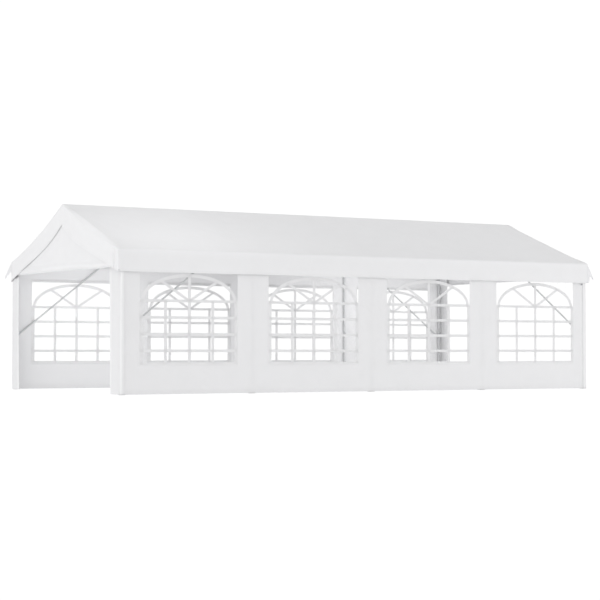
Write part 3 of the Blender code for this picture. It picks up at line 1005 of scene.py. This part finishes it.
# End strips: beside each open doorway a standing strip of the end wall is left, tied to the corner legs. It
# turns the corner over the leg and laps over the end of the side wall. Its lap and its free edge are hemmed.
STRIP_LINE = 3.9545
STRIP_HEM = 0.055
TURN_MIDDLE = (3.9345, 1.9600)
TURN_ACROSS = 0.0200
TURN_OUT = 0.0280
TURN_LENGTH = 0.038
LAP_LENGTH = 0.0240
LAP_HEM = 0.018
# How far from the middle of the tent each strip's free edge stands, at the top and at the ground
STRIP_EDGE = {
    ("near", "left"): (1.616, 1.642),
    ("near", "right"): (1.725, 1.725),
    ("far", "left"): (1.775, 1.735),
    ("far", "right"): (1.745, 1.745),
}


def strip_skin_at(corner):
    """One strip's outer face. Place runs from 0 at the corner to 1 at the free edge and on round the hem,
    and from 0 down in metres round the corner, along the lap and back under it."""
    side, end = SIDES[corner[0]], ENDS[corner[1]]
    top_edge, bottom_edge = STRIP_EDGE[corner]

    def skin(place, z):
        if place < 0:
            turn = min(-place / TURN_LENGTH, 1.0) * math.pi / 2
            lap, inset = turned_back(max(-place - TURN_LENGTH, 0.0), LAP_LENGTH)
            x = TURN_MIDDLE[0] + TURN_ACROSS * math.cos(turn) - lap
            y = TURN_MIDDLE[1] + TURN_OUT * math.sin(turn) - inset
            return Vector((end * (x + end_flare(corner, x, z)), side * y, z))
        width = TURN_MIDDLE[1] - bottom_edge - (top_edge - bottom_edge) * z / WALL_TOP
        inset = 0.0
        if place > 1:
            inset = hem_inset(place - 1)
            place = 1 - (place - 1) / width
        y = TURN_MIDDLE[1] - width * place
        wave = 0.004 * math.sin(2.6 * math.pi * place) * math.sin(math.pi * z / WALL_TOP)
        wave += 0.003 * ripple(4 * y * side, z, 0.9, 41.0 + end)
        inset += 0.006 * bump(width * place - 0.016, 0.010)
        flare = end_flare(corner, STRIP_LINE, z) * (1 - 0.6 * place)
        return Vector((end * (STRIP_LINE + wave * ease(place / 0.3) + flare - inset), side * y, z))

    return skin


# The strips' white is the darkest of the tarpaulin's copies: painted shade.
strip_cloth = pe_tarpaulin("white coated PE tarpaulin, end strips", "ECECED", "E9E9EA", 0.18)
fade_end = FLARE_TOP + FLARE_FADE
strip_rows = grid_lines([WALL_BOTTOM, FLARE_TOP], 0.048) + grid_lines([FLARE_TOP, fade_end], 0.012)[1:]
strip_rows += grid_lines([fade_end, WALL_TOP], 0.048)[1:]
lap_end = -TURN_LENGTH - LAP_LENGTH
lap_columns = [lap_end - back for back in (LAP_HEM, 0.008, 0.004, 0.002)]
lap_columns += grid_lines([lap_end, -TURN_LENGTH, 0.0], 0.0064) + [0.03, 0.06, 0.09]
for corner, edges in STRIP_EDGE.items():
    side_name, end_name = corner
    width = TURN_MIDDLE[1] - sum(edges) / 2
    hem_start = 1 - STRIP_HEM / width
    hem_columns = grid_lines([0.13, hem_start, 0.985, 1.0, 1.002, 1.004, 1.0 + STRIP_HEM], 0.08)
    strip_skin = strip_skin_at(corner)
    outward = Vector((ENDS[end_name], 0, 0))
    strip = add_cloth(
        f"end_strip_sheet_{side_name}_{end_name}",
        (lap_columns + hem_columns, strip_rows, strip_skin),
        outward,
        strip_cloth,
        "end_strip_sheet",
        f"end_strip_{side_name}_{end_name}",
        doubled=lambda place, z: place < 0 or place > hem_start,
    )
    seam_place = 1 - (STRIP_HEM - 0.005) / width
    seam_points = seam_line(WALL_BOTTOM, WALL_TOP, lambda z: strip_skin(seam_place, z), outward)
    strip_seam = seam_mesh(f"strip seam {side_name} {end_name}", [seam_points])
    stitching_name = f"strip_stitching_{side_name}_{end_name}"
    stitching = grow(stitching_name, strip_seam, stitches, thread, STITCH_SIZES)


# Ties: loops of grey elastic cord, each with a moulded ball, hold the walls to the legs at three heights and
# to the eave rails twice in each bay. Each loop goes once round its tube, and its ball sits inside the room.
# One more, by the near right corner, has its ball outside.
TIE_HEIGHTS = (0.40, 0.89, 1.38)
TIE_SIZES = {"Loop Radius": 0.0204, "Cord Radius": 0.0012, "Ball Radius": 0.011, "Ball Reach": 0.032}
LEG_TILT = 0.10
OUTSIDE_TIE = (3.89, -POST_LINE, 1.625)


def elastic_and_ball():
    """Moulded polypropylene ball and elastic braid: mid grey, satin, with a fine rib from the braid."""
    material, tree, place = new_material("grey elastic and moulded ball")
    braid, tone = two_tone(tree, place, 420.0, 2.0, "8E9195", "A4A7AA")
    rib = add_node(tree, "ShaderNodeBump", {"Height": braid, "Strength": 0.3, "Distance": 0.0003})
    satin = {"Base Color": tone, "Roughness": 0.45, "Normal": rib}
    surface = add_node(tree, "ShaderNodeBsdfPrincipled", satin)
    add_node(tree, "ShaderNodeOutputMaterial", {"Surface": surface})
    return material


ties, ties_in = new_layout("ball ties on points", *TIE_SIZES, "Tilt", "Material")
loop = round_ring(ties, 24, ties_in["Loop Radius"], ties_in["Cord Radius"])
ball_form = {"Segments": 12, "Rings": 8, "Radius": ties_in["Ball Radius"]}
ball = add_node(ties, "GeometryNodeMeshUVSphere", ball_form)
ball_shift = add_node(ties, "ShaderNodeCombineXYZ", {"X": ties_in["Ball Reach"]})
ball_placed = add_node(ties, "GeometryNodeTransform", {"Geometry": ball, "Translation": ball_shift})
tie = add_node(ties, "GeometryNodeJoinGeometry", {"Geometry": [loop, ball_placed]})
lean = add_node(ties, "ShaderNodeCombineXYZ", {"X": ties_in["Tilt"]})
lean_turn = add_node(ties, "FunctionNodeEulerToRotation", {"Euler": lean})
leaning = {"Rotation": facing_turn(ties, "X"), "Rotate By": lean_turn}
tie_turn = add_node(ties, "FunctionNodeRotateRotation", leaning, rotation_space="LOCAL")
place_copies(ties, ties_in, ties_in["Geometry"], tie, tie_turn)

elastic = elastic_and_ball()
leg_spots = [(OUTSIDE_TIE, Vector((0, -1, 0)))]
rail_spots = []
for side in SIDES.values():
    inward = Vector((0, -side, 0))
    leg_spots += [((x, side * POST_LINE, z), inward) for x in POSTS for z in TIE_HEIGHTS]
    for post in POSTS[:-1]:
        for share in (0.30, 0.70):
            rail_spots.append(((post + POST_PITCH * share, side * POST_LINE, EAVE_AXIS), inward))
for tie_name, spots, tilt in (("leg_ties", leg_spots, LEG_TILT), ("rail_ties", rail_spots, math.pi / 2)):
    sizes = {**TIE_SIZES, "Tilt": tilt}
    grow(tie_name, points_mesh(tie_name, spots), ties, elastic, sizes)


# Corner flaps: at three corners the seam allowance of the cover ends in a tongue of one layer of tarpaulin,
# which stands out past the end of the tent, where a peg line would go. The fourth is tucked in. Eyelets of
# zinc plated steel are pressed into the tongues and into the cover's corners.
FLAP_ROOT = 0.010
FLAP_TIP = 1.715
FLAP_NECK = 1.755
EYELET_SIZES = {"Radius": 0.0065, "Thickness": 0.0020}
EYELET_LIFT = 0.0010
# The reach past the corner, the height and the bow of the upper edge, and the height of the lower edge
FLAPS = {
    ("far", "left"): (0.108, 1.940, 1.0, 1.790),
    ("near", "right"): (0.118, 1.925, 1.15, 1.656),
    ("far", "right"): (0.090, 1.900, 1.0, 1.700),
}


def flap_edges(corner, out):
    """The heights of a flap's upper and lower edges, from the corner at 0 to its tip at 1."""
    reach, top, bow, foot = FLAPS[corner]
    lower = foot + (FLAP_NECK - foot) * ease((out - 0.24) / 0.10) - 0.065 * ease((out - 0.30) / 0.70)
    return top + (FLAP_TIP - top) * out**bow, lower


def flap_skin_at(corner):
    """A flap's outer face, out from the corner to its tip and down from its upper edge to its lower edge."""
    side, end = SIDES[corner[0]], ENDS[corner[1]]
    reach = FLAPS[corner][0]

    def skin(out, down):
        upper, lower = flap_edges(corner, out)
        x = HALF_LENGTH + FLAP_ROOT + (reach - FLAP_ROOT) * out
        y = HALF_WIDTH - 0.008 + 0.012 * math.sin(2.2 * out)
        return Vector((end * x, side * y, upper + (lower - upper) * down))

    return skin


# The flaps' white is lighter than the roof's: a painted highlight on tongues that face away from the light.
flap_cloth = pe_tarpaulin("white coated PE tarpaulin, corner flaps", "F5F5F6", "EEEEEF", 0.40)
flap_columns = grid_lines([0.0, 1.0], 0.0625)
eyelet_spots = []
for corner, (flap_reach, *_) in FLAPS.items():
    outward = Vector((0, SIDES[corner[0]], 0))
    flap_skin = flap_skin_at(corner)
    flap_grid = (flap_columns, grid_lines([0.0, 1.0], 0.125), flap_skin)
    flap = add_cloth(f"corner_flap_{corner[0]}_{corner[1]}", flap_grid, outward, flap_cloth, "roof_sheet")
    eyelet_spots.append((flap_skin(0.84, 0.5) + outward * EYELET_LIFT, outward))
for side in SIDES.values():
    for end in ENDS.values():
        outward = Vector((0, side, 0))
        spot = cover_skin(end * (HALF_LENGTH - 0.022), side * (SLOPE_RUN + VALANCE_DROP - 0.016))
        eyelet_spots.append((spot + outward * EYELET_LIFT, outward))
grow("eyelets", points_mesh("eyelets", eyelet_spots), rings, zinc, EYELET_SIZES)
